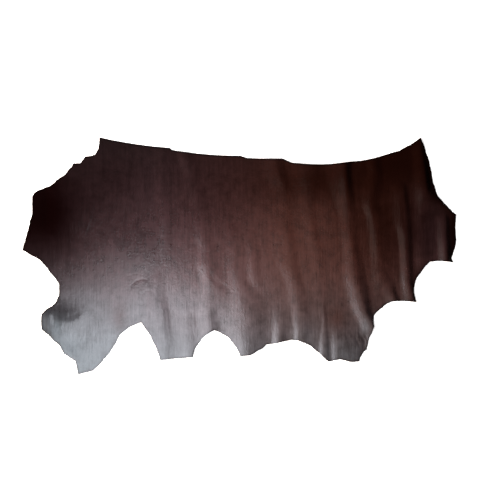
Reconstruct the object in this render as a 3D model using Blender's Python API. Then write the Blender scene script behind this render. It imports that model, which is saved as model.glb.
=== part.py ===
"""A side of dressed leather: half a cattle hide, cut along the backbone, lying grain up.

Metres, +Z up. +X runs from the rump to the neck, +Y from the belly to the backbone. The sheet
rests on Z = 0, and the origin is under the middle of its box. The two tables give millimetres.
"""

import math
from collections import namedtuple

import bmesh
import bpy
import numpy as np
from mathutils import Vector
from mathutils.geometry import delaunay_2d_cdt

MM = 0.001

# Driving dimensions
LENGTH = 2250 * MM  # rump to neck, over the tips
WIDTH = 1230 * MM  # belly to backbone, over the shank
THICKNESS = 2.0 * MM

# How closely the sheet is faceted
EDGE_STEP = 22 * MM  # between points on the cut edge
PLAIN_STEP = 36 * MM  # across the rump, which lies nearly flat
FOLD_STEP = 20 * MM  # across the folds, from the loin on
NECK_STEP = 15 * MM  # across the steeper folds, from the shoulder on
ROW_STEP = 44 * MM  # along the folds
EDGE_CLEAR = 9 * MM  # from the cut edge to the nearest point inside it
SAME_POINT = 0.001 * MM  # closer points than this are one

LEATHER_BROWN = (0.046, 0.021, 0.017, 1.0)
LEATHER_ROUGHNESS = 0.45

# The cut edge, clockwise from the tail. Each stretch runs to the next point. It bows inwards by
# `bow`, as an edge does between two stretching clamps, and its knife line wanders by `rough`.
Edge = namedtuple("Edge", "x y bow rough")
OUTLINE = (
    # backbone, a long knife cut
    Edge(-725, 615, 0, 0),  # tail corner
    Edge(-675, 604, 5, 0),
    Edge(-360, 560, 0, 0),
    Edge(-350, 550, 8, 0),
    Edge(5, 520, 0, 0),
    Edge(40, 508, 1, 0),
    Edge(225, 505, 0, 0),
    Edge(270, 485, 12, 0),
    Edge(575, 490, 7, 0),
    Edge(755, 525, 12, 2),
    # neck and cheek
    Edge(940, 615, -9, 2),  # nape corner
    Edge(1005, 380, 0, 2),
    Edge(1030, 310, 0, 2),
    Edge(1088, 247, 0, 2),
    Edge(1125, 215, 4, 1),  # neck tip
    Edge(1125, 85, -4, 1),
    Edge(1100, -10, 0, 0),
    Edge(1110, -35, 6, 1),  # cheek hook
    Edge(986, -31, 2, 2),
    Edge(920, -115, 13, 1),
    Edge(920, -240, 4, 0),  # throat tip
    Edge(790, -236, 6, 2),
    Edge(700, -306, 3, 1),
    # fore shank
    Edge(700, -365, 4, 2),
    Edge(660, -485, 8, 2),
    Edge(622, -547, -1, 1),
    Edge(575, -549, 0, 1),
    Edge(520, -535, 0, 1),
    Edge(463, -548, 0, 2),
    # belly, scalloped between the clamps
    Edge(375, -470, 7, 2),
    Edge(270, -435, -2, 1),
    Edge(140, -460, 0, 2),
    Edge(120, -480, 0, 2),
    Edge(55, -515, 0, 0),
    Edge(5, -520, 24, 2),  # second belly tab
    Edge(-130, -385, 23, 2),
    Edge(-240, -525, 0, 1),
    Edge(-410, -540, 12, 2),  # first belly tab
    Edge(-510, -345, 8, 1),
    Edge(-620, -410, -13, 2),
    Edge(-760, -595, 0, 1),
    # hind shank
    Edge(-835, -615, 0, 1),
    Edge(-850, -545, 0, 1),
    Edge(-910, -505, 0, 2),
    Edge(-930, -465, 0, 2),
    Edge(-1025, -380, -3, 1),
    Edge(-1025, -300, -3, 2),
    Edge(-978, -263, 7, 2),
    Edge(-935, -200, 0, 0),
    Edge(-935, -145, 3, 2),
    Edge(-1035, -20, 0, 2),
    # rump, the raggedest cut
    Edge(-1125, 30, 0, 2),  # flank tip
    Edge(-1091, 153, 0, 2),
    Edge(-1074, 216, 0, 1),
    Edge(-1074, 308, -5, 1),
    Edge(-1037, 343, 0, 2),
    Edge(-981, 362, -3, 3),
    Edge(-900, 425, 0, 3),
    Edge(-860, 480, 0, 2),
    Edge(-825, 480, 0, 3),
    Edge(-800, 515, 0, 1),
    Edge(-765, 520, 7, 2),
    Edge(-730, 560, 0, 1),
)
ROUGH_WAVES = ((71 * MM, 0.6, 0.4), (113 * MM, 0.4, 2.1))  # length, share, phase

# The waves that rolling left across the hide. A crest is a point on the ridge of one, with how
# far it reaches there towards the rump and towards the neck. They go down from the backbone.
Crest = namedtuple("Crest", "y x height rump_foot neck_foot")
FOLDS = {
    "rump margin": (
        Crest(400, -955, 0, 60, 220),
        Crest(342, -948, 4, 60, 240),
        Crest(264, -936, 5.5, 75, 260),
        Crest(187, -934, 4, 75, 260),
        Crest(109, -945, 1, 60, 240),
        Crest(50, -950, 0, 60, 220),
    ),
    "hock rim": (
        Crest(-255, -1000, 0, 40, 36),
        Crest(-290, -992, 3, 40, 38),
        Crest(-358, -982, 4.6, 45, 42),
        Crest(-435, -940, 4.6, 45, 56),
        Crest(-513, -882, 3.6, 45, 56),
        Crest(-580, -825, 0, 45, 50),
    ),
    "croup": (
        Crest(540, -395, 2, 60, 60),
        Crest(290, -400, 2.8, 50, 60),
        Crest(187, -396, 2.6, 50, 60),
        Crest(80, -390, 1, 60, 60),
        Crest(-60, -385, 0, 60, 60),
    ),
    "stifle": (
        Crest(-90, -460, 0, 170, 60),
        Crest(-180, -460, 1.4, 170, 60),
        Crest(-300, -465, 1.7, 170, 60),
        Crest(-400, -465, 1.6, 170, 60),
        Crest(-540, -460, 1, 170, 60),
    ),
    "first tab, rump side": (
        Crest(-50, -450, 0, 45, 50),
        Crest(-124, -427, 0.8, 45, 50),
        Crest(-202, -418, 2, 70, 52),
        Crest(-280, -408, 4.4, 110, 55),
        Crest(-358, -404, 4.6, 120, 62),
        Crest(-435, -400, 3.8, 115, 72),
        Crest(-540, -395, 3, 100, 75),
    ),
    "first tab, neck side": (
        Crest(-180, -280, 0, 50, 50),
        Crest(-300, -274, 1, 50, 50),
        Crest(-530, -262, 1.2, 50, 50),
    ),
    "loin": (
        Crest(530, -275, 4, 60, 60),
        Crest(420, -250, 2.5, 60, 60),
        Crest(264, -205, 2, 60, 60),
        Crest(109, -188, 2, 60, 60),
        Crest(31, -168, 2.1, 60, 60),
        Crest(-47, -170, 2.9, 60, 80),
        Crest(-124, -152, 3, 60, 85),
        Crest(-202, -155, 2.4, 60, 110),
        Crest(-280, -162, 3, 60, 64),
        Crest(-385, -156, 4.4, 60, 62),
    ),
    "mid belly": (
        Crest(187, -40, 0, 60, 60),
        Crest(109, -27, 1.5, 60, 60),
        Crest(-47, -20, 1.5, 60, 60),
        Crest(-124, -5, 2, 60, 60),
        Crest(-202, 14, 3, 75, 110),
        Crest(-280, 32, 4.7, 105, 125),
        Crest(-358, 38, 6.2, 130, 130),
        Crest(-435, 37, 8.8, 120, 130),
        Crest(-520, 38, 8.8, 110, 130),
    ),
    "rib": (
        Crest(150, 58, 0, 45, 45),
        Crest(109, 60, 0.5, 45, 45),
        Crest(31, 70, 1.3, 45, 45),
        Crest(-124, 82, 1.5, 45, 45),
        Crest(-202, 92, 0, 45, 45),
    ),
    "short belly": (
        Crest(-230, 210, 0, 45, 90),
        Crest(-310, 210, 1.6, 45, 70),
        Crest(-384, 210, 3.4, 46, 52),
        Crest(-455, 208, 5.6, 47, 52),
    ),
    "long rib": (
        Crest(500, 186, 5.2, 85, 62),
        Crest(420, 202, 5.2, 90, 58),
        Crest(342, 220, 2.4, 70, 52),
        Crest(264, 226, 1.5, 65, 55),
        Crest(109, 242, 2.4, 95, 55),
        Crest(31, 256, 2.2, 100, 55),
        Crest(-47, 262, 2.6, 80, 55),
        Crest(-124, 284, 2.8, 60, 55),
        Crest(-202, 300, 2.5, 60, 60),
        Crest(-280, 314, 3, 60, 60),
        Crest(-440, 322, 3.2, 60, 60),
    ),
    "withers": (
        Crest(490, 335, 6.8, 75, 120),
        Crest(420, 338, 5.2, 85, 125),
        Crest(342, 348, 2.6, 75, 90),
        Crest(264, 357, 1.4, 55, 60),
        Crest(187, 366, 1.5, 50, 45),
        Crest(109, 375, 1.5, 50, 50),
        Crest(31, 398, 1, 50, 50),
        Crest(-124, 415, 0.7, 50, 50),
        Crest(-280, 430, 0.7, 50, 50),
        Crest(-400, 437, 0, 50, 50),
    ),
    "elbow tuck": (
        Crest(-320, 306, 0, 26, 90),
        Crest(-358, 307, 0.8, 25, 100),
        Crest(-400, 306, 1.3, 24, 110),
        Crest(-445, 304, 1.6, 24, 110),
    ),
    "knee pleat": (
        Crest(-225, 434, 0, 18, 14),
        Crest(-290, 439, 0.8, 18, 14),
        Crest(-335, 442, 1.1, 18, 16),
        Crest(-390, 443, 1.9, 26, 22),
        Crest(-440, 440, 3, 34, 34),
        Crest(-500, 442, 4, 40, 40),
    ),
    "fore shank": (
        Crest(-300, 500, 0, 40, 80),
        Crest(-358, 506, 0.8, 40, 110),
        Crest(-435, 512, 4.2, 50, 160),
        Crest(-545, 514, 6, 54, 190),
    ),
    "shoulder": (
        Crest(490, 545, 12.5, 110, 42),
        Crest(420, 547, 11, 110, 42),
        Crest(342, 556, 7.6, 95, 42),
        Crest(264, 563, 4.6, 75, 45),
        Crest(187, 572, 3, 60, 48),
        Crest(109, 576, 4, 60, 50),
        Crest(31, 585, 4.8, 60, 50),
        Crest(-47, 596, 6, 72, 55),
        Crest(-124, 607, 8.4, 82, 60),
        Crest(-202, 629, 9, 88, 54),
        Crest(-280, 650, 9.6, 84, 38),
        Crest(-358, 690, 9.5, 80, 38),
        Crest(-420, 720, 8, 76, 40),
    ),
    "neck, first": (
        Crest(498, 694, 5, 50, 50),
        Crest(420, 704, 4, 50, 50),
        Crest(342, 688, 5, 60, 60),
        Crest(264, 682, 4.4, 55, 60),
        Crest(187, 704, 3.6, 55, 70),
        Crest(109, 716, 4, 55, 80),
        Crest(31, 722, 4, 55, 65),
        Crest(-47, 728, 2.5, 55, 70),
        Crest(-124, 732, 3.2, 55, 70),
        Crest(-202, 740, 1.2, 55, 60),
        Crest(-260, 745, 0, 55, 60),
    ),
    "throat": (
        Crest(-20, 738, 0, 50, 30),
        Crest(-124, 772, 1.5, 55, 30),
        Crest(-202, 799, 5, 62, 26),
        Crest(-250, 812, 6, 62, 26),
    ),
    "neck, second": (
        Crest(400, 842, 0, 60, 35),
        Crest(342, 845, 5, 70, 35),
        Crest(264, 854, 5.6, 85, 35),
        Crest(187, 862, 5.2, 85, 35),
        Crest(109, 867, 6.4, 58, 35),
        Crest(31, 869, 6, 49, 34),
        Crest(-47, 872, 6.8, 47, 34),
        Crest(-124, 874, 7.8, 49, 35),
        Crest(-230, 894, 7.6, 62, 34),
    ),
    "neck, third": (
        Crest(600, 935, 5, 60, 30),
        Crest(498, 949, 7, 60, 28),
        Crest(420, 961, 9, 70, 28),
        Crest(342, 967, 10, 80, 42),
        Crest(264, 965, 6.5, 70, 130),
        Crest(187, 955, 4, 60, 90),
        Crest(109, 962, 2.3, 60, 90),
        Crest(31, 951, 2.8, 52, 75),
        Crest(-80, 958, 2.5, 52, 62),
    ),
    "neck tip": (
        Crest(240, 1064, 0, 60, 28),
        Crest(187, 1066, 6, 62, 28),
        Crest(109, 1068, 7.5, 60, 28),
        Crest(31, 1073, 9.6, 54, 28),
        Crest(-40, 1076, 11, 52, 28),
    ),
}
# The swell over the hind shank lies along the hide, so it reaches towards the belly and backbone.
Ridge = namedtuple("Ridge", "x y height belly_foot backbone_foot")
SHANK_SWELL = (
    Ridge(-760, -315, 0, 120, 110),
    Ridge(-826, -332, 2, 130, 105),
    Ridge(-877, -345, 3, 140, 110),
    Ridge(-929, -335, 3, 130, 110),
    Ridge(-990, -290, 0, 100, 100),
)
# The columns of facets run along these crests, so that each fold keeps its line. Beside each is
# the step from there towards the neck.
GUIDES = {
    "loin": FOLD_STEP,
    "mid belly": FOLD_STEP,
    "long rib": FOLD_STEP,
    "withers": FOLD_STEP,
    "shoulder": NECK_STEP,
    "neck, first": NECK_STEP,
    "neck, second": NECK_STEP,
    "neck tip": NECK_STEP,
}


def smooth_line(stations, column, at):
    """A smooth curve through one column of the stations. It runs on level past its ends."""
    rows = np.array(stations, float)[::-1] * MM
    places, values = rows[:, 0], rows[:, column]
    slopes = np.gradient(values, places)
    slopes[[0, -1]] = 0
    at = np.clip(at, places[0], places[-1])
    span = np.clip(np.searchsorted(places, at) - 1, 0, len(places) - 2)
    size = places[span + 1] - places[span]
    t = (at - places[span]) / size
    start = (1 + 2 * t) * (1 - t) ** 2 * values[span] + t * (1 - t) ** 2 * size * slopes[span]
    end = t**2 * (3 - 2 * t) * values[span + 1] + t**2 * (t - 1) * size * slopes[span + 1]
    return start + end


def wave(stations, along, across):
    """The height of one wave, whose ridge goes along one axis and whose feet go across it."""
    ridge, top, near_foot, far_foot = (smooth_line(stations, i, along) for i in (1, 2, 3, 4))
    side = across - ridge
    share = side / np.where(side < 0, near_foot, far_foot)
    return np.maximum(top, 0) * np.cos(np.clip(share, -1, 1) * math.pi / 2) ** 2


def lift(x, y):
    """How high the underside of the sheet is above what it lies on."""
    return sum(wave(crests, y, x) for crests in FOLDS.values()) + wave(SHANK_SWELL, x, y)


def steepness(x, y):
    """How steeply the sheet slopes, as rise over run."""
    reach = 1 * MM
    along = (lift(x + reach, y) - lift(x - reach, y)) / (2 * reach)
    across = (lift(x, y + reach) - lift(x, y - reach)) / (2 * reach)
    return np.hypot(along, across)


def cut_edge():
    """The outline as a closed ring of points, with every corner of the table on it."""
    ring = []
    run_before = 0.0
    for edge, following in zip(OUTLINE, OUTLINE[1:] + OUTLINE[:1]):
        start = Vector((edge.x, edge.y)) * MM
        run = Vector((following.x, following.y)) * MM - start
        inward = Vector((run.y, -run.x)).normalized()
        count = max(1, round(run.length / EDGE_STEP))
        for share in (i / count for i in range(count)):
            along = run_before + share * run.length
            bow = edge.bow * 4 * share * (1 - share)
            waves = (part * math.sin(math.tau * along / size + turn) for size, part, turn in ROUGH_WAVES)
            wander = edge.rough * sum(waves) * math.sin(math.pi * share)
            ring.append(start + run * share + inward * (bow + wander) * MM)
        run_before += run.length
    return ring


def inside_and_clear(points, ring):
    """Which points lie inside the ring and at least EDGE_CLEAR from it."""
    starts = np.array(ring)
    runs = np.roll(starts, -1, axis=0) - starts
    kept = []
    for point in points:
        to_point = point - starts
        share = np.clip((to_point * runs).sum(1) / (runs * runs).sum(1), 0, 1)
        gap = np.linalg.norm(to_point - runs * share[:, None], axis=1).min()
        spans = (to_point[:, 1] >= 0) != (to_point[:, 1] - runs[:, 1] >= 0)
        crossed = to_point[spans, 1] / runs[spans, 1] * runs[spans, 0] > to_point[spans, 0]
        kept.append(gap > EDGE_CLEAR and crossed.sum() % 2 == 1)
    return np.array(kept)


def inner_points(ring):
    """Points in columns that follow the crests, closer together across the folds than along them."""
    points = []
    rows = np.arange(-WIDTH / 2, WIDTH / 2, ROW_STEP)
    lines = [np.full_like(rows, -LENGTH / 2)]
    lines += [smooth_line(FOLDS[name], 1, rows) for name in GUIDES]
    lines += [np.full_like(rows, LENGTH / 2)]
    steps = [PLAIN_STEP, *GUIDES.values()]
    for near, far, step in zip(lines, lines[1:], steps):
        count = round((far - near).mean() / step)
        for column in range(count):
            x = near + (far - near) * column / count
            stagger = ROW_STEP / 2 * (column % 2)
            points += zip(x, rows + stagger)
    points = np.array(points)
    return points[inside_and_clear(points, ring)]


def flat_sheet():
    """The cut side laid flat: its points, its triangles and the pairs of points along its edge."""
    ring = cut_edge()
    flat = [tuple(point) for point in ring] + [tuple(point) for point in inner_points(ring)]
    # Rows are further apart than columns, so the points are joined in a space squeezed to suit.
    squeeze = FOLD_STEP / ROW_STEP
    squeezed = [Vector((x, y * squeeze)) for x, y in flat]
    border = [(i, (i + 1) % len(ring)) for i in range(len(ring))]
    inside_only = 1
    result = delaunay_2d_cdt(squeezed, border, [list(range(len(ring)))], inside_only, SAME_POINT)
    corners = np.array([(point.x, point.y / squeeze) for point in result[0]])
    return corners, result[2], border


def build_hide():
    """The sheet with its folds, one closed solid of even thickness."""
    flat, triangles, border = flat_sheet()
    x, y = flat.T
    under = lift(x, y)
    # A sloping stretch is thicker when it is measured straight up.
    over = under + THICKNESS * np.hypot(1, steepness(x, y))

    shape = bmesh.new()
    flesh_side = [shape.verts.new(point) for point in zip(x, y, under)]
    grain_side = [shape.verts.new(point) for point in zip(x, y, over)]
    for triangle in triangles:
        shape.faces.new([grain_side[i] for i in triangle])
        shape.faces.new([flesh_side[i] for i in reversed(triangle)])
    for here, ahead in border:
        shape.faces.new((flesh_side[here], flesh_side[ahead], grain_side[ahead], grain_side[here]))
    bmesh.ops.recalc_face_normals(shape, faces=shape.faces)

    mesh = bpy.data.meshes.new("leather_hide")
    shape.to_mesh(mesh)
    shape.free()
    mesh.shade_smooth()
    mesh.set_sharp_from_angle(angle=math.radians(40))
    hide = bpy.data.objects.new("leather_hide", mesh)
    bpy.context.collection.objects.link(hide)
    return hide


def brown_leather():
    material = bpy.data.materials.new("brown_leather")
    material.use_nodes = True
    shader = material.node_tree.nodes["Principled BSDF"]
    shader.inputs["Base Color"].default_value = LEATHER_BROWN
    shader.inputs["Roughness"].default_value = LEATHER_ROUGHNESS
    shader.inputs["Metallic"].default_value = 0.0
    return material


def main():
    for thing in list(bpy.data.objects):
        bpy.data.objects.remove(thing)
    hide = build_hide()
    hide.data.materials.append(brown_leather())


main()
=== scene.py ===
# A side of dark brown leather, lying grain up on a pale studio floor.
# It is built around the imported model, in metres, with +Z up. Tables are in millimetres.
import math

import bpy
import numpy as np
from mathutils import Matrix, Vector
from mathutils.geometry import delaunay_2d_cdt
from mathutils.kdtree import KDTree


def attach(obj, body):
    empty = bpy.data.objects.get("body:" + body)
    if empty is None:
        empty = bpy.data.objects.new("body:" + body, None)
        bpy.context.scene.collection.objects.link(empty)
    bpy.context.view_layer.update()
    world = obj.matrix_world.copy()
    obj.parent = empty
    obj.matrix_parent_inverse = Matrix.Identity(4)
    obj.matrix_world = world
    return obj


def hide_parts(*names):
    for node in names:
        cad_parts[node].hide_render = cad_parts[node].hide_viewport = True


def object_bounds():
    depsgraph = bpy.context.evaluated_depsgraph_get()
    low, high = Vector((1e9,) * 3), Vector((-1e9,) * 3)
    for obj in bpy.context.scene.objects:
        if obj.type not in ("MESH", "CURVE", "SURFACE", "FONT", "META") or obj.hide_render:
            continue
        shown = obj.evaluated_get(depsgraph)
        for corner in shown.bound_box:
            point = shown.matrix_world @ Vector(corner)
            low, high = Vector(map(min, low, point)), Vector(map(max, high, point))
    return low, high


mm = 0.001

print("loading the packed hide")
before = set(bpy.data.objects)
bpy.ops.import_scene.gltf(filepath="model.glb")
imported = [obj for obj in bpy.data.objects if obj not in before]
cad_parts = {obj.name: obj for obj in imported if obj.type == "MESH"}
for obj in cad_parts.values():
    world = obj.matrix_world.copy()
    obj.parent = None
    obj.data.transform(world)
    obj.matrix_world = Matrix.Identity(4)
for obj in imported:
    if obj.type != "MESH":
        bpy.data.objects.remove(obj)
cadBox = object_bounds()

hide = {
    "thickness": 2.0,
    "grainStep": 6.0,  # between points of the grain side
    "fleshStep": 13.0,  # the flesh side is plainer
    "edgeStep": 4.0,  # between points along the cut edge
    "edgeClear": 3.0,  # from the cut edge to the first point inside it
    "edgeDrop": 0.5,  # the knife rounds the grain over at the edge
    "edgeShadowAndWear": 8.0,  # how far in the edge is darkened: painted shadow along it, and wear from handling
    "creaseStep": 3.5,  # between points along a crease
    "creaseRows": (-0.9, -0.45, 0, 0.45, 0.9),  # of points beside it, as shares of its width
    "creaseEnd": 0.01,  # it fades towards its ends, but not over this last share of its length
    "sharpTurn": 50,  # degrees: only a harder turn between two faces shows as a line
    # how the knife wanders: length of each wave, its share, and where it starts
    "roughWaves": [(71, 0.6, 0.4), (113, 0.4, 2.1)],
    "nickWaves": [(19, 0.55, 1.3), (13, 0.35, 0.2), (31, 0.5, 2.6)],  # torn fibres between them
    "nickShare": 0.5,  # of the nicks beside the longer waves
}

# The cut edge, clockwise from the tail: x, y, how far it bows inwards before the next point, and
# how far the knife wanders on the way.
outline = [
    # backbone, a long knife cut
    (-725, 615, 0, 0),
    (-675, 604, 5, 0),
    (-360, 560, 0, 0),
    (-350, 550, 8, 0),
    (5, 520, 0, 0),
    (40, 508, 1, 0),
    (225, 505, 0, 0),
    (270, 485, 12, 0),
    (575, 490, 7, 0),
    (755, 525, 12, 2),
    # neck and cheek
    (940, 615, -9, 2),
    (1005, 380, 0, 2),
    (1030, 310, 0, 2),
    (1088, 247, 0, 2),
    (1125, 215, 4, 1),
    (1125, 85, -4, 1),
    (1100, -10, 0, 0),
    (1110, -35, 6, 1),
    (986, -31, 2, 2),
    (920, -115, 13, 1),
    (920, -240, 4, 0),
    (790, -236, 6, 2),
    (700, -306, 3, 1),
    # fore shank
    (700, -365, 4, 2),
    (660, -485, 8, 2),
    (622, -547, -1, 1),
    (575, -549, 0, 1),
    (520, -535, 0, 1),
    (463, -548, 0, 2),
    # belly, scalloped between the stretching clamps
    (375, -470, 7, 2),
    (270, -435, -2, 1),
    (140, -460, 0, 2),
    (120, -480, 0, 2),
    (55, -515, 0, 0),
    (5, -520, 24, 2),
    (-130, -385, 23, 2),
    (-240, -525, 0, 1),
    (-410, -540, 12, 2),
    (-510, -345, 8, 1),
    (-620, -410, -13, 2),
    (-760, -595, 0, 1),
    # hind shank
    (-835, -615, 0, 1),
    (-850, -545, 0, 1),
    (-910, -505, 0, 2),
    (-930, -465, 0, 2),
    (-1025, -380, -3, 1),
    (-1025, -300, -3, 2),
    (-978, -263, 7, 2),
    (-935, -200, 0, 0),
    (-935, -145, 3, 2),
    (-1035, -20, 0, 2),
    # rump, the raggedest cut
    (-1125, 30, 0, 2),
    (-1091, 153, 0, 2),
    (-1074, 216, 0, 1),
    (-1074, 308, -5, 1),
    (-1037, 343, 0, 2),
    (-981, 362, -3, 3),
    (-900, 425, 0, 3),
    (-860, 480, 0, 2),
    (-825, 480, 0, 3),
    (-800, 515, 0, 1),
    (-765, 520, 7, 2),
    (-730, 560, 0, 1),
]

# The waves that were left across the hide when it was rolled up. A row is a place on the crest,
# from the backbone down to the belly: y, x, height, and how wide the wave is there towards the rump
# and towards the neck.
waves = {
    "rumpMargin": [
        (400, -955, 0, 60, 220),
        (342, -948, 4, 60, 240),
        (264, -936, 5.5, 75, 260),
        (187, -934, 4, 75, 260),
        (109, -945, 1, 60, 240),
        (50, -950, 0, 60, 220),
    ],
    "hindShank": [
        (-255, -1000, 0, 40, 36),
        (-290, -992, 3, 40, 38),
        (-358, -982, 4.6, 45, 42),
        (-435, -940, 4.6, 45, 56),
        (-513, -882, 3.6, 45, 56),
        (-580, -825, 0, 45, 50),
    ],
    "croup": [
        (540, -395, 2, 60, 60),
        (290, -400, 2.8, 50, 60),
        (187, -396, 2.6, 50, 60),
        (80, -390, 1, 60, 60),
        (-60, -385, 0, 60, 60),
    ],
    "stifle": [
        (-90, -460, 0, 170, 60),
        (-180, -460, 1.4, 170, 60),
        (-300, -465, 1.7, 170, 60),
        (-400, -465, 1.6, 170, 60),
        (-540, -460, 1, 170, 60),
    ],
    "firstTabRump": [
        (-50, -450, 0, 45, 50),
        (-124, -427, 0.8, 45, 50),
        (-202, -418, 2, 70, 52),
        (-280, -408, 4.4, 110, 55),
        (-358, -404, 4.6, 120, 62),
        (-435, -400, 3.8, 115, 72),
        (-540, -395, 3, 100, 75),
    ],
    "firstTabNeck": [(-180, -280, 0, 50, 50), (-300, -274, 1, 50, 50), (-530, -262, 1.2, 50, 50)],
    "loin": [
        (530, -275, 4, 60, 60),
        (420, -250, 2.5, 60, 60),
        (264, -205, 2, 60, 60),
        (109, -188, 2, 60, 60),
        (31, -168, 2.1, 60, 60),
        (-47, -170, 2.9, 60, 80),
        (-124, -152, 3, 60, 85),
        (-202, -155, 2.4, 60, 110),
        (-280, -162, 3, 60, 64),
        (-385, -156, 4.4, 60, 62),
    ],
    "midBelly": [
        (187, -40, 0, 60, 60),
        (109, -27, 1.5, 60, 60),
        (-47, -20, 1.5, 60, 60),
        (-124, -5, 2, 60, 60),
        (-202, 14, 3, 75, 110),
        (-280, 32, 4.7, 105, 125),
        (-358, 38, 6.2, 130, 130),
        (-435, 37, 8.8, 120, 130),
        (-520, 38, 8.8, 110, 130),
    ],
    "rib": [
        (150, 58, 0, 45, 45),
        (109, 60, 0.5, 45, 45),
        (31, 70, 1.3, 45, 45),
        (-124, 82, 1.5, 45, 45),
        (-202, 92, 0, 45, 45),
    ],
    "shortBelly": [
        (-230, 210, 0, 45, 90),
        (-310, 210, 1.6, 45, 70),
        (-384, 210, 3.4, 46, 52),
        (-455, 208, 5.6, 47, 52),
    ],
    "longRib": [
        (500, 186, 5.2, 85, 62),
        (420, 202, 5.2, 90, 58),
        (342, 220, 2.4, 70, 52),
        (264, 226, 1.5, 65, 55),
        (109, 242, 2.4, 95, 55),
        (31, 256, 2.2, 100, 55),
        (-47, 262, 2.6, 80, 55),
        (-124, 284, 2.8, 60, 55),
        (-202, 300, 2.5, 60, 60),
        (-280, 314, 3, 60, 60),
        (-440, 322, 3.2, 60, 60),
    ],
    "withers": [
        (490, 335, 6.8, 75, 120),
        (420, 338, 5.2, 85, 125),
        (342, 348, 2.6, 75, 90),
        (264, 357, 1.4, 55, 60),
        (187, 366, 1.5, 50, 45),
        (109, 375, 1.5, 50, 50),
        (31, 398, 1, 50, 50),
        (-124, 415, 0.7, 50, 50),
        (-280, 430, 0.7, 50, 50),
        (-400, 437, 0, 50, 50),
    ],
    "elbowTuck": [
        (-320, 306, 0, 26, 90),
        (-358, 307, 0.8, 25, 100),
        (-400, 306, 1.3, 24, 110),
        (-445, 304, 1.6, 24, 110),
    ],
    "kneePleat": [
        (-225, 434, 0, 18, 14),
        (-290, 439, 0.8, 18, 14),
        (-335, 442, 1.1, 18, 16),
        (-390, 443, 1.9, 26, 22),
        (-440, 440, 3, 34, 34),
        (-500, 442, 4, 40, 40),
    ],
    "foreShank": [
        (-300, 500, 0, 40, 80),
        (-358, 506, 0.8, 40, 110),
        (-435, 512, 4.2, 50, 160),
        (-545, 514, 6, 54, 190),
    ],
    "shoulder": [
        (490, 545, 12.5, 110, 42),
        (420, 547, 11, 110, 42),
        (342, 556, 7.6, 95, 42),
        (264, 563, 4.6, 75, 45),
        (187, 572, 3, 60, 48),
        (109, 576, 4, 60, 50),
        (31, 585, 4.8, 60, 50),
        (-47, 596, 6, 72, 55),
        (-124, 607, 8.4, 82, 60),
        (-202, 629, 9, 88, 54),
        (-280, 650, 9.6, 84, 38),
        (-358, 690, 9.5, 80, 38),
        (-420, 720, 8, 76, 40),
    ],
    "neckFirst": [
        (498, 694, 5, 50, 50),
        (420, 704, 4, 50, 50),
        (342, 688, 5, 60, 60),
        (264, 682, 4.4, 55, 60),
        (187, 704, 3.6, 55, 70),
        (109, 716, 4, 55, 80),
        (31, 722, 4, 55, 65),
        (-47, 728, 2.5, 55, 70),
        (-124, 732, 3.2, 55, 70),
        (-202, 740, 1.2, 55, 60),
        (-260, 745, 0, 55, 60),
    ],
    "throat": [
        (-20, 738, 0, 50, 30),
        (-124, 772, 1.5, 55, 30),
        (-202, 799, 5, 62, 26),
        (-250, 812, 6, 62, 26),
    ],
    "neckSecond": [
        (400, 842, 0, 60, 35),
        (342, 845, 5, 70, 35),
        (264, 854, 5.6, 85, 35),
        (187, 862, 5.2, 85, 35),
        (109, 867, 6.4, 58, 35),
        (31, 869, 6, 49, 34),
        (-47, 872, 6.8, 47, 34),
        (-124, 874, 7.8, 49, 35),
        (-230, 894, 7.6, 62, 34),
    ],
    "neckThird": [
        (600, 935, 5, 60, 30),
        (498, 949, 7, 60, 28),
        (420, 961, 9, 70, 28),
        (342, 967, 10, 80, 42),
        (264, 965, 6.5, 70, 130),
        (187, 955, 4, 60, 90),
        (109, 962, 2.3, 60, 90),
        (31, 951, 2.8, 52, 75),
        (-80, 958, 2.5, 52, 62),
    ],
    "neckTip": [
        (240, 1064, 0, 60, 28),
        (187, 1066, 6, 62, 28),
        (109, 1068, 7.5, 60, 28),
        (31, 1073, 9.6, 54, 28),
        (-40, 1076, 11, 52, 28),
    ],
}

# The swell over the hind shank lies the other way. A row is x, y, height, and how wide it is there
# towards the belly and towards the backbone.
swells = {
    "hindShank": [
        (-760, -315, 0, 120, 110),
        (-826, -332, 2, 130, 105),
        (-877, -345, 3, 140, 110),
        (-929, -335, 3, 130, 110),
        (-990, -290, 0, 100, 100),
    ],
    "shankLip": [
        (-795, -308, 0, 100, 34),
        (-826, -322, 1, 110, 34),
        (-877, -347, 1.4, 110, 36),
        (-929, -338, 1.4, 110, 36),
        (-975, -290, 0, 90, 34),
    ],
}

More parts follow.
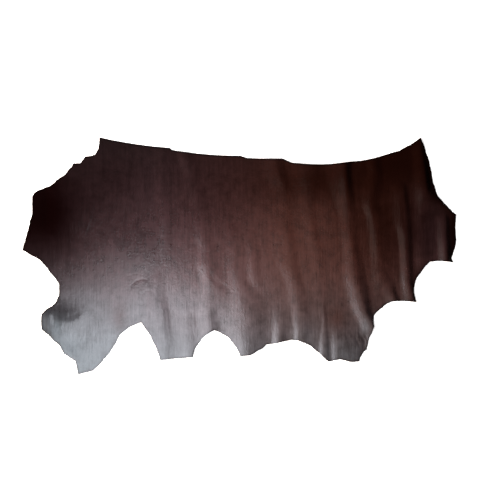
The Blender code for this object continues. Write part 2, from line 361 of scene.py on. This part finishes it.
# Creases and growth marks that are finer than the waves: how far each stands up or goes in, how
# wide it is, and the points that it runs through.
creases = {
    "rumpHairline": (0.5, 9, [(-766, 262), (-772, 200), (-796, 116)]),
    "flankFirst": (-0.45, 10, [(-566, -161), (-535, -130), (-499, -119), (-473, -124)]),
    "flankSecond": (-0.3, 9, [(-509, -207), (-483, -181), (-452, -181), (-436, -202)]),
    "flankThird": (-0.25, 9, [(-530, -243), (-504, -254), (-483, -238)]),
    "loinMark": (-0.5, 10, [(-209, 222), (-204, 192), (-207, 163)]),
    "loinArc": (-0.25, 8, [(-394, 231), (-380, 217), (-366, 222)]),
    "bellyTrough": (-0.7, 30, [(-167, -73), (-120, -130), (-58, -176)]),
    "tabTick": (-0.15, 8, [(-238, -337), (-212, -337)]),
    "tabRidge": (0.12, 9, [(-369, -197), (-350, -223), (-333, -254)]),
    "throatLine": (-0.35, 10, [(750, -31), (780, -124), (812, -228)]),
    "kneeMark": (-0.35, 11, [(404, -205), (409, -250), (411, -300), (414, -350)]),
    "kneeSecond": (0.25, 12, [(492, -215), (500, -300), (508, -400)]),
    "shankFirst": (-0.4, 12, [(532, -370), (555, -410), (586, -452)]),
    "shankSecond": (-0.3, 10, [(560, -365), (588, -415), (612, -462)]),
    "shankThird": (-0.25, 10, [(500, -330), (516, -372), (545, -440)]),
    "elbowFirst": (-1.2, 13, [(622, -396), (650, -445), (642, -495)]),
    "elbowSecond": (-0.9, 11, [(600, -415), (628, -480)]),
    "elbowThird": (-0.6, 10, [(648, -404), (668, -438)]),
    "hockFirst": (-0.12, 9, [(-748, -310), (-790, -400), (-822, -495)]),
    "hockSecond": (-0.14, 9, [(-715, -330), (-758, -430), (-790, -540)]),
    "hockThird": (-0.1, 9, [(-845, -390), (-836, -450), (-826, -560)]),
    "hockLip": (0.15, 12, [(-850, -382), (-812, -366), (-782, -334)]),
}

# How dark the colour is: lightest over the middle, darker in the patches, which are waxed as well;
# some patches are dye that took heavier, and some are painted shade over hollows and turned-down
# edges. A patch is x, y, its reach in x and in y, and how much of the light colour it takes away.
dyeing = {
    "lightest": (130, -60, 900, 480),
    "heavierDyeAndShade": {
        # painted shade: the rump's margin, which curls away from the light, and the hollow beside
        # it
        "rump": (-1005, 195, 250, 240, 0.97),
        "rumpHollow": (-990, 260, 70, 120, 0.95),
        "hip": (-640, 370, 200, 160, 0.35),
        "haunch": (-600, 130, 150, 120, 0.28),
        "flank": (-450, -10, 150, 140, 0.42),
        "loin": (-160, 290, 360, 280, 0.45),
        "withers": (420, 375, 280, 100, 0.65),
        "crest": (800, 480, 260, 120, 0.85),
        # painted shade: the nape and the neck's end, where the hide turns down at the edge, and the
        # hollow between the neck's folds
        "nape": (985, 450, 50, 120, 0.85),
        "neckHollow": (740, 200, 210, 290, 0.62),
        "neckEnd": (1120, 120, 40, 130, 0.9),
        "cheek": (930, 130, 130, 150, 0.48),
        "side": (-80, 0, 80, 140, 0.15),
        "belly": (125, -270, 60, 80, 0.25),
        "knee": (430, -250, 70, 90, 0.2),
        # painted shadow: the hollow over the hind shank
        "hindShank": (-920, -290, 85, 60, 0.6),
        "firstTab": (-330, -480, 60, 70, 0.3),
        # painted shade: the trough beside the shoulder fold at the elbow, and the creases at the
        # elbow's tip
        "elbow": (680, -250, 25, 60, 0.3),
        "elbowTip": (640, -455, 40, 50, 0.2),
    },
    # painted shade along these stretches of the cut edge, where the hide turns down: patches of the
    # same kind
    "shadedEdge": {
        "rump": (-1060, 210, 120, 220, 0.9),
        "nape": (1010, 380, 130, 220, 1.0),
        "neckTip": (1120, 90, 60, 150, 0.9),
        "cheek": (930, -150, 60, 120, 0.5),
        "crest": (840, 570, 130, 60, 0.7),
        "hock": (-1000, -370, 60, 110, 0.3),
    },
    "shadedEdgeReach": 26,  # how far in from the edge
    # painted sheen and highlights: a pale colour added over the dye in patches whose last number is
    # how much of it there is, and below 0 where it is taken away
    "paintedSheen": {
        "belly": (-1100, -560, 1800, 315, 1.0),
        "firstTab": (-350, -230, 220, 80, 0.2),
        "firstBay": (-510, -290, 80, 90, 0.2),
        "stifle": (-620, -325, 35, 75, -0.5),
        "stifleEdge": (-665, -420, 40, 60, 0.15),
        "firstTabTop": (-430, -165, 60, 45, 0.1),
        "firstTabEdge": (-260, -260, 80, 80, 0.22),
        "secondTab": (-110, -310, 70, 80, 0.25),
        "kneeEdge": (345, -410, 60, 60, 0.15),
        "knee": (500, -330, 55, 65, -0.2),
        "hockInner": (-745, -300, 60, 60, 0.1),
        "hock": (-800, -215, 90, 60, 0.15),
        "hockRim": (-940, -365, 25, 60, 0.3),
        "hockTip": (-890, -460, 45, 50, 0.3),
        "foreShank": (520, -500, 120, 60, 0.2),
        "elbow": (650, -370, 25, 45, 0.4),
    },
    "warmFrom": -450,  # oxblood on the rump side of this
    "warmTo": 250,  # chestnut on the neck side of this
    "coolNeck": (1010, 110, 150, 260, 0.7),  # and oxblood again here
    # loose, stringy grain: patches of the same kind, the last number being how loose it is
    "loose": {
        "hindShank": (-850, -420, 150, 170, 1.0),
        "foreShank": (590, -450, 130, 110, 1.0),
        "firstTab": (-330, -330, 150, 200, 0.6),
        "belly": (60, -380, 260, 160, 0.5),
    },
}


def softPatch(x, y, patch):
    middleX, middleY, reachX, reachY = patch
    return np.exp(-(((x - middleX) / reachX) ** 2) - ((y - middleY) / reachY) ** 2)


def patchwork(x, y, patches):
    return sum(much * softPatch(x, y, patch) for *patch, much in patches.values())


def smoothLine(stations, column, at):
    # a smooth curve through one column of the stations, which runs on level past its ends
    rows = np.array(stations, float)[::-1] * mm
    places, values = rows[:, 0], rows[:, column]
    slopes = np.gradient(values, places)
    slopes[[0, -1]] = 0
    at = np.clip(at, places[0], places[-1])
    span = np.clip(np.searchsorted(places, at) - 1, 0, len(places) - 2)
    size = places[span + 1] - places[span]
    t = (at - places[span]) / size
    start = (1 + 2 * t) * (1 - t) ** 2 * values[span] + t * (1 - t) ** 2 * size * slopes[span]
    end = t**2 * (3 - 2 * t) * values[span + 1] + t**2 * (t - 1) * size * slopes[span + 1]
    return start + end


def waveLift(stations, along, across):
    columns = [smoothLine(stations, column, along) for column in (1, 2, 3, 4)]
    crest, height, footBefore, footAfter = columns
    side = across - crest
    foot = np.where(side < 0, footBefore, footAfter)
    return np.maximum(height, 0) * np.cos(np.clip(side / foot, -1, 1) * math.pi / 2) ** 2


def foldLift(x, y):
    height = sum(waveLift(stations, y, x) for stations in waves.values())
    return height + sum(waveLift(stations, x, y) for stations in swells.values())


def creaseLift(x, y):
    height = np.zeros_like(x)
    for depth, width, path in creases.values():
        nearest = np.full_like(x, np.inf)
        taper = np.zeros_like(x)
        for i, (start, end) in enumerate(zip(path, path[1:])):
            startX, startY = start[0] * mm, start[1] * mm
            runX, runY = end[0] * mm - startX, end[1] * mm - startY
            share = ((x - startX) * runX + (y - startY) * runY) / (runX**2 + runY**2)
            share = np.clip(share, 0, 1)
            gap = np.hypot(x - startX - share * runX, y - startY - share * runY)
            closer = gap < nearest
            nearest = np.where(closer, gap, nearest)
            along = (i + share) / (len(path) - 1)
            along = np.clip(along, hide["creaseEnd"], 1 - hide["creaseEnd"])
            taper = np.where(closer, np.sqrt(np.sin(math.pi * along)), taper)
        height += depth * mm * taper * np.exp(-((nearest / (width * mm / 2)) ** 2))
    return height


def creasePoints():
    # lines of points beside each crease, so that the mesh follows it
    points = []
    for _, width, path in creases.values():
        for start, end in zip(path, path[1:]):
            start, run = Vector(start), Vector(end) - Vector(start)
            across = run.orthogonal().normalized() * width
            count = max(1, round(run.length / hide["creaseStep"]))
            for i in range(count):
                for offset in hide["creaseRows"]:
                    points.append((start + run * i / count + across * offset) * mm)
    return points


def steepness(x, y):
    reach = 1 * mm
    along = (foldLift(x + reach, y) - foldLift(x - reach, y)) / (2 * reach)
    across = (foldLift(x, y + reach) - foldLift(x, y - reach)) / (2 * reach)
    return np.hypot(along, across)


def knifeWaves(name, along):
    return sum(part * math.sin(math.tau * along / size + turn) for size, part, turn in hide[name])


def cutEdge():
    ring = []
    runBefore = 0.0
    for (x, y, bow, rough), following in zip(outline, outline[1:] + outline[:1]):
        start = Vector((x, y)) * mm
        run = Vector(following[:2]) * mm - start
        inward = Vector((run.y, -run.x)).normalized()
        count = max(1, round(run.length / (hide["edgeStep"] * mm)))
        for i in range(count):
            share = i / count
            along = (runBefore + share * run.length) / mm
            nicks = hide["nickShare"] * knifeWaves("nickWaves", along)
            wander = rough * (knifeWaves("roughWaves", along) + nicks)
            wander *= math.sin(math.pi * share)  # none at the table's own points
            off = bow * 4 * share * (1 - share) + wander  # the bow is a parabola
            ring.append(start + run * share + inward * off * mm)
        runBefore += run.length
    return ring


def pointTree(points):
    tree = KDTree(len(points))
    for i, point in enumerate(points):
        tree.insert(point.to_3d(), i)
    tree.balance()
    return tree


def skin(ring, ringTree, step, extra):
    # points in staggered rows, clear of the cut edge and of the extra points, joined into triangles
    # that fill the ring
    step *= mm
    rowStep = step * math.sqrt(3) / 2
    low = [min(point[i] for point in ring) for i in (0, 1)]
    high = [max(point[i] for point in ring) for i in (0, 1)]
    inner = [point for point in extra if ringTree.find(point.to_3d())[2] > hide["edgeClear"] * mm]
    extraTree = pointTree(inner) if inner else None
    for row in range(int((high[1] - low[1]) / rowStep) + 1):
        for column in range(int((high[0] - low[0]) / step) + 1):
            point = Vector((low[0] + (column + row % 2 / 2) * step, low[1] + row * rowStep))
            clear = ringTree.find(point.to_3d())[2] > hide["edgeClear"] * mm
            if clear and extraTree:
                clear = extraTree.find(point.to_3d())[2] > hide["creaseStep"] * mm
            if clear:
                inner.append(point)
    border = [(i, (i + 1) % len(ring)) for i in range(len(ring))]
    face = list(range(len(ring)))
    insideOnly, closest = 1, 1e-7  # points nearer to each other than that, in metres, are one
    result = delaunay_2d_cdt(ring + inner, border, [face], insideOnly, closest)
    triangles = np.array(result[2])
    used = np.unique(np.concatenate([triangles.ravel(), np.arange(len(ring))]))
    places = np.array([tuple(point) for point in result[0]])[used]
    return places, np.searchsorted(used, triangles)


def finishFields(points, fromEdge):
    # what the grain's material reads at each point of the mesh
    x, y = points[:, 0] / mm, points[:, 1] / mm
    light = np.ones_like(x)
    for *patch, depth in dyeing["heavierDyeAndShade"].values():
        light *= 1 - depth * softPatch(x, y, patch)
    # painted shade along the turned-down stretches of the cut edge
    edgeShade = np.exp(-((fromEdge / dyeing["shadedEdgeReach"]) ** 2))
    for *patch, depth in dyeing["shadedEdge"].values():
        light *= 1 - depth * softPatch(x, y, patch) * edgeShade
    warmth = np.clip((x - dyeing["warmFrom"]) / (dyeing["warmTo"] - dyeing["warmFrom"]), 0, 1)
    *cool, cooled = dyeing["coolNeck"]
    return {
        # the edge darkened: painted shadow along it, and wear
        "edgeShadowAndWear": np.exp(-((fromEdge / hide["edgeShadowAndWear"]) ** 2)),
        "dyeAndShadeLightness": softPatch(x, y, dyeing["lightest"]) * light,
        "dyeWarmth": warmth * (1 - cooled * softPatch(x, y, cool)),
        "waxed": 1 - light,
        # painted sheen, less of it where the colour is darker
        "paintedSheen": patchwork(x, y, dyeing["paintedSheen"]) * light,
        "looseness": patchwork(x, y, dyeing["loose"]),
    }


def buildHide():
    ring = cutEdge()
    ringTree = pointTree(ring)
    grain, grainTriangles = skin(ring, ringTree, hide["grainStep"], creasePoints())
    flesh, fleshTriangles = skin(ring, ringTree, hide["fleshStep"], [])

    x, y = grain.T
    top = foldLift(x, y) + hide["thickness"] * mm * np.hypot(1, steepness(x, y))
    top += creaseLift(x, y)
    top[: len(ring)] -= hide["edgeDrop"] * mm
    bottom = foldLift(*flesh.T)
    points = np.vstack([np.column_stack([grain, top]), np.column_stack([flesh, bottom])])
    here = np.arange(len(ring))
    ahead = np.roll(here, -1)
    # the ring runs clockwise, so these wind outwards
    rimUpper = np.column_stack([here, ahead, here + len(grain)])
    rimLower = np.column_stack([ahead, ahead + len(grain), here + len(grain)])
    faces = np.vstack([grainTriangles, fleshTriangles[:, ::-1] + len(grain), rimUpper, rimLower])

    mesh = bpy.data.meshes.new("leatherSide")
    mesh.from_pydata(points.tolist(), [], faces.tolist())
    mesh.update()
    mesh.validate()
    grainFleshEdge = [len(grainTriangles), len(fleshTriangles), len(rimUpper) + len(rimLower)]
    slots = np.repeat([0, 1, 2], grainFleshEdge).astype(np.int32)
    mesh.polygons.foreach_set("material_index", slots)
    mesh.shade_smooth()
    mesh.set_sharp_from_angle(angle=math.radians(hide["sharpTurn"]))

    fromEdge = np.array([ringTree.find((point[0], point[1], 0))[2] for point in points]) / mm
    for name, values in finishFields(points, fromEdge).items():
        layer = mesh.attributes.new(name, "FLOAT", "POINT")
        layer.data.foreach_set("value", values.astype(np.float32))

    piece = bpy.data.objects.new("leatherSide", mesh)
    bpy.context.collection.objects.link(piece)
    print("hide:", len(faces), "triangles")
    return piece


def colour(hexCode):
    channels = [int(hexCode[i : i + 2], 16) / 255 for i in (1, 3, 5)]
    linear = [c / 12.92 if c <= 0.04045 else ((c + 0.055) / 1.055) ** 2.4 for c in channels]
    return (*linear, 1.0)


def addNode(tree, kind, settings=None, links=None):
    node = tree.nodes.new("ShaderNode" + kind)
    for name, value in (settings or {}).items():
        if isinstance(name, int) or name in node.inputs:
            node.inputs[name].default_value = value
        else:
            setattr(node, name, value)
    for name, source in (links or {}).items():
        tree.links.new(source, node.inputs[name])
    return node


def newMaterial(name):
    material = bpy.data.materials.new(name)
    material.use_nodes = True
    return material, material.node_tree, material.node_tree.nodes["Principled BSDF"]


# Vegetable-tanned cattle leather, drum dyed, oiled and finished satin: a near-black brown that
# goes red where light gets into it, under a tight skin with a broad, cool shine.
grainFinish = {
    # the heavy colours stand for dye that took heavier and for painted shade
    "heavyOxbloodAndShade": "#050101",
    "heavyChestnutAndShade": "#100402",
    "oxblood": "#443034",
    "chestnut": "#381e19",
    # the pale cool colour of the painted sheen
    "paintedSheen": "#38444a",
    # the edge's dark colour: painted shadow along the edge, and burnish
    "edgeShadowAndBurnish": "#060303",
    "edgeShadowAndBurnishShare": 0.75,
    "roughness": 0.265,
    "waxedRoughness": 0.07,  # heavily dyed patches hold more wax and polish up
    "ior": 1.5,
    # how unevenly the dye took: size across, size along, share of the colour
    "mottle": (180, 180, 0.5),  # over the width of a hand
    "blotch": (45, 45, 1.4),
    "streak": (9, 140, 1.1),  # along the way that the hide was stretched
    "leastShare": 0.5,  # so that no spot goes black
    "dyeDetail": 4,
    # relief: size across, size along, depth
    "pebble": (12, 12, 0.5),  # real pebbles are 1 to 2 mm, drawn coarser so that they show
    "drawn": (11, 120, 0.5),  # fine lines that stretching left
    "stringy": (14, 60, 1.2),  # only where the grain is loose
    "reliefDetail": 3,
}
patternRoughness = 0.6  # how much each finer layer of a pattern counts beside the one before


def stretchedPattern(tree, place, size, detail):
    # noise whose size is in millimetres, 1000 to the metre: across the streaks (in x) and along
    # them (in y)
    across, along, much = size
    stretched = addNode(
        tree,
        "Mapping",
        {"Scale": (1000 / across, 1000 / along, 1000 / across)},
        {"Vector": place},
    )
    noise = addNode(
        tree,
        "TexNoise",
        {"Scale": 1.0, "Detail": detail, "Roughness": patternRoughness},
        {"Vector": stretched.outputs["Vector"]},
    )
    return noise.outputs["Fac"], much


def dyeShare(tree, place):
    # 1 on average, more or less by each kind of unevenness; the noise itself is a half on average
    patterns = [grainFinish[name] for name in ("mottle", "blotch", "streak")]
    start = 1 - sum(pattern[2] for pattern in patterns) / 2
    share = None
    for pattern in patterns:
        noise, much = stretchedPattern(tree, place, pattern, grainFinish["dyeDetail"])
        adding = {"operation": "MULTIPLY_ADD", 1: much, 2: start}
        step = addNode(tree, "Math", adding, {0: noise})
        if share is not None:  # every pattern after the first is added to those before it
            tree.links.new(share, step.inputs[2])
        share = step.outputs[0]
    least = {"operation": "MAXIMUM", 1: grainFinish["leastShare"]}
    return addNode(tree, "Math", least, {0: share}).outputs[0]


def grainMaterial():
    material, tree, shader = newMaterial("vegetableTannedGrain")
    place = addNode(tree, "TexCoord").outputs["Object"]
    fields = {
        name: addNode(tree, "Attribute", {"attribute_name": name}).outputs["Fac"]
        for name in ("dyeAndShadeLightness", "dyeWarmth", "waxed", "paintedSheen", "edgeShadowAndWear", "looseness")
    }
    tint = {name: colour(code) for name, code in grainFinish.items() if isinstance(code, str)}
    mix = {"data_type": "RGBA"}

    share = dyeShare(tree, place)
    taken = addNode(tree, "Math", {"operation": "MULTIPLY"}, {0: fields["dyeAndShadeLightness"], 1: share})
    # the heavy colours stand for dye that took heavier and for painted shade
    heavyAndShadeTints = {6: tint["heavyOxbloodAndShade"], 7: tint["heavyChestnutAndShade"]}
    heavyAndShade = addNode(tree, "Mix", mix | heavyAndShadeTints, {0: fields["dyeWarmth"]})
    lightTints = {6: tint["oxblood"], 7: tint["chestnut"]}
    light = addNode(tree, "Mix", mix | lightTints, {0: fields["dyeWarmth"]})
    dyeAndShadeLinks = {0: taken.outputs[0], 6: heavyAndShade.outputs[2], 7: light.outputs[2]}
    dyeAndShadeColour = addNode(tree, "Mix", mix, dyeAndShadeLinks)
    # painted sheen: a pale cool colour added over the dye
    paintedSheenAmount = addNode(tree, "Math", {"operation": "MULTIPLY"}, {0: fields["paintedSheen"], 1: share})
    paintedSheenSettings = mix | {"blend_type": "ADD", 7: tint["paintedSheen"]}
    withPaintedSheen = addNode(tree, "Mix", paintedSheenSettings, {0: paintedSheenAmount.outputs[0], 6: dyeAndShadeColour.outputs[2]})
    # the edge darkened, partly painted shadow along it and partly burnish
    edgeDarkening = {"operation": "MULTIPLY", 1: grainFinish["edgeShadowAndBurnishShare"]}
    edgeDarkened = addNode(tree, "Math", edgeDarkening, {0: fields["edgeShadowAndWear"]})
    base = addNode(
        tree,
        "Mix",
        mix | {7: tint["edgeShadowAndBurnish"]},
        {0: edgeDarkened.outputs[0], 6: withPaintedSheen.outputs[2]},
    )
    tree.links.new(base.outputs[2], shader.inputs["Base Color"])

    normal = None
    for name in ("pebble", "drawn", "stringy"):
        pattern = grainFinish[name]
        noise, depth = stretchedPattern(tree, place, pattern, grainFinish["reliefDetail"])
        relief = addNode(tree, "Bump", {"Strength": 1.0, "Distance": depth * mm}, {"Height": noise})
        if name == "stringy":
            tree.links.new(fields["looseness"], relief.inputs["Strength"])
        if normal is not None:
            tree.links.new(normal, relief.inputs["Normal"])
        normal = relief.outputs["Normal"]
    tree.links.new(normal, shader.inputs["Normal"])

    dryToWaxed = {"To Min": grainFinish["roughness"], "To Max": grainFinish["waxedRoughness"]}
    polish = addNode(tree, "MapRange", dryToWaxed, {"Value": fields["waxed"]})
    tree.links.new(polish.outputs["Result"], shader.inputs["Roughness"])
    shader.inputs["IOR"].default_value = grainFinish["ior"]
    return material


def fibreMaterial(name, finish):
    # bare fibres: two shades in patches and strokes, under a relief of the fibres themselves
    material, tree, shader = newMaterial(name)
    place = addNode(tree, "TexCoord").outputs["Object"]
    patches, share = stretchedPattern(tree, place, finish["patches"], finish["patchDetail"])
    strokes, depth = stretchedPattern(tree, place, finish["fibres"], finish["fibreDetail"])
    mixed = addNode(tree, "Mix", {"data_type": "FLOAT", 0: share}, {2: strokes, 3: patches})
    shades = {"data_type": "RGBA", 6: colour(finish["dark"]), 7: colour(finish["light"])}
    shade = addNode(tree, "Mix", shades, {0: mixed.outputs[0]})
    tree.links.new(shade.outputs[2], shader.inputs["Base Color"])
    relief = addNode(tree, "Bump", {"Strength": 1.0, "Distance": depth * mm}, {"Height": strokes})
    tree.links.new(relief.outputs["Normal"], shader.inputs["Normal"])
    shader.inputs["Roughness"].default_value = finish["roughness"]
    shader.inputs["Sheen Weight"].default_value = finish["sheen"]
    return material


# The flesh side is split and buffed to a short nap, which scatters light and looks pale and dry.
fleshFinish = {
    "dark": "#4b362d",
    "light": "#6b5146",
    "patches": (70, 200, 0.45),  # the strokes of the buffing roll: size across, along, share
    "patchDetail": 3,
    "fibres": (7, 9, 0.9),  # the nap, really under 1 mm, drawn coarser to show; last, its depth
    "fibreDetail": 5,
    "roughness": 0.95,
    "sheen": 0.25,
}

# The knife leaves the fibres of the cut edge bare: the same dye, but dry and a little paler.
cutFinish = {
    "dark": "#24140f",
    "light": "#4a3028",
    "patches": (40, 40, 0.4),
    "patchDetail": 3,
    "fibres": (4, 4, 0.4),  # bundles of fibre, really a tenth of that
    "fibreDetail": 5,
    "roughness": 0.85,
    "sheen": 0.1,
}


print("laying out the hide")
leatherSide = buildHide()
leatherSide.data.materials.append(grainMaterial())
leatherSide.data.materials.append(fibreMaterial("splitSuedeFlesh", fleshFinish))
leatherSide.data.materials.append(fibreMaterial("knifeCutFibre", cutFinish))
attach(leatherSide, "root")
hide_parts("leather_hide")

# Pale paper under three soft boxes, with a low pale wall all round.
studio = {
    "floorSize": 40.0,
    "floorDrop": 0.2,  # mm under the hide, so that the two don't share a face
    "floor": "#f4f4f4",
    "floorGlow": 0.75,  # the pale floor is lit from below, so that it stays even
    "wallLight": 0.9,  # a pale wall stands low around it
    "wallTop": (0.12, 0.3),  # and ends in the dark between these sines of its height
    # three soft boxes, all aimed at the middle of the hide: place, size, power, colour
    "keySoftbox": ((-0.8, -0.95, 1.8), (1.0, 1.8), 44.0, "#f4f7ff"),
    "fillSoftbox": ((0.45, -1.15, 1.8), (1.2, 3.2), 5.5, "#fff2e6"),
    "lowSoftbox": ((-6.0, -1.0, 2.2), (3.0, 3.0), 2200.0, "#ffeee2"),
}


def buildStudio():
    under = (0, 0, -studio["floorDrop"] * mm)
    bpy.ops.mesh.primitive_plane_add(size=studio["floorSize"], location=under)
    floor = bpy.context.object
    floor.name = "studioFloor"
    material, _, shader = newMaterial("mattePaper")
    shader.inputs["Base Color"].default_value = colour(studio["floor"])
    shader.inputs["Roughness"].default_value = 1.0
    shader.inputs["Specular IOR Level"].default_value = 0.0
    shader.inputs["Emission Color"].default_value = colour(studio["floor"])
    shader.inputs["Emission Strength"].default_value = studio["floorGlow"]
    floor.data.materials.append(material)

    world = bpy.data.worlds.new("paleWalls")
    bpy.context.scene.world = world
    world.use_nodes = True
    tree = world.node_tree
    place = addNode(tree, "TexCoord").outputs["Generated"]
    height = addNode(tree, "SeparateXYZ", {}, {"Vector": place}).outputs["Z"]
    wall = addNode(
        tree,
        "MapRange",
        {
            "From Min": studio["wallTop"][0],
            "From Max": studio["wallTop"][1],
            "To Min": studio["wallLight"],
            "To Max": 0.0,
        },
        {"Value": height},
    ).outputs["Result"]
    tree.links.new(wall, tree.nodes["Background"].inputs["Strength"])
    tree.nodes["Background"].inputs["Color"].default_value = (1, 1, 1, 1)

    for name in ("keySoftbox", "fillSoftbox", "lowSoftbox"):
        place, size, power, tint = studio[name]
        light = bpy.data.lights.new(name, "AREA")
        light.shape = "RECTANGLE"
        light.size, light.size_y = size
        light.energy = power
        light.color = colour(tint)[:3]
        softbox = bpy.data.objects.new(name, light)
        softbox.location = place
        softbox.rotation_euler = (-softbox.location).to_track_quat("-Z", "Y").to_euler()
        softbox.visible_camera = False
        bpy.context.collection.objects.link(softbox)


# The photograph looks straight down. The hide is 434 of its 480 pixels long and lies a little below
# the middle.
lens = {
    "photoSide": 480,
    "hideLength": 434,
    "hideMiddle": (239.25, 256),
    "focal": 85.0,
    "sensor": 36.0,
}


def buildCamera():
    metresPerPixel = (cadBox[1][0] - cadBox[0][0]) / lens["hideLength"]
    middle = lens["photoSide"] / 2
    across = (middle - lens["hideMiddle"][0]) * metresPerPixel
    up = (lens["hideMiddle"][1] - middle) * metresPerPixel
    height = lens["photoSide"] * metresPerPixel * lens["focal"] / lens["sensor"]
    camera = bpy.data.objects.new("camera", bpy.data.cameras.new("camera"))
    camera.data.lens = lens["focal"]
    camera.data.sensor_width = lens["sensor"]
    camera.location = (across, up, height)
    bpy.context.collection.objects.link(camera)
    bpy.context.scene.camera = camera


print("setting up the studio")
buildStudio()
buildCamera()
bpy.context.scene.view_settings.view_transform = "Standard"
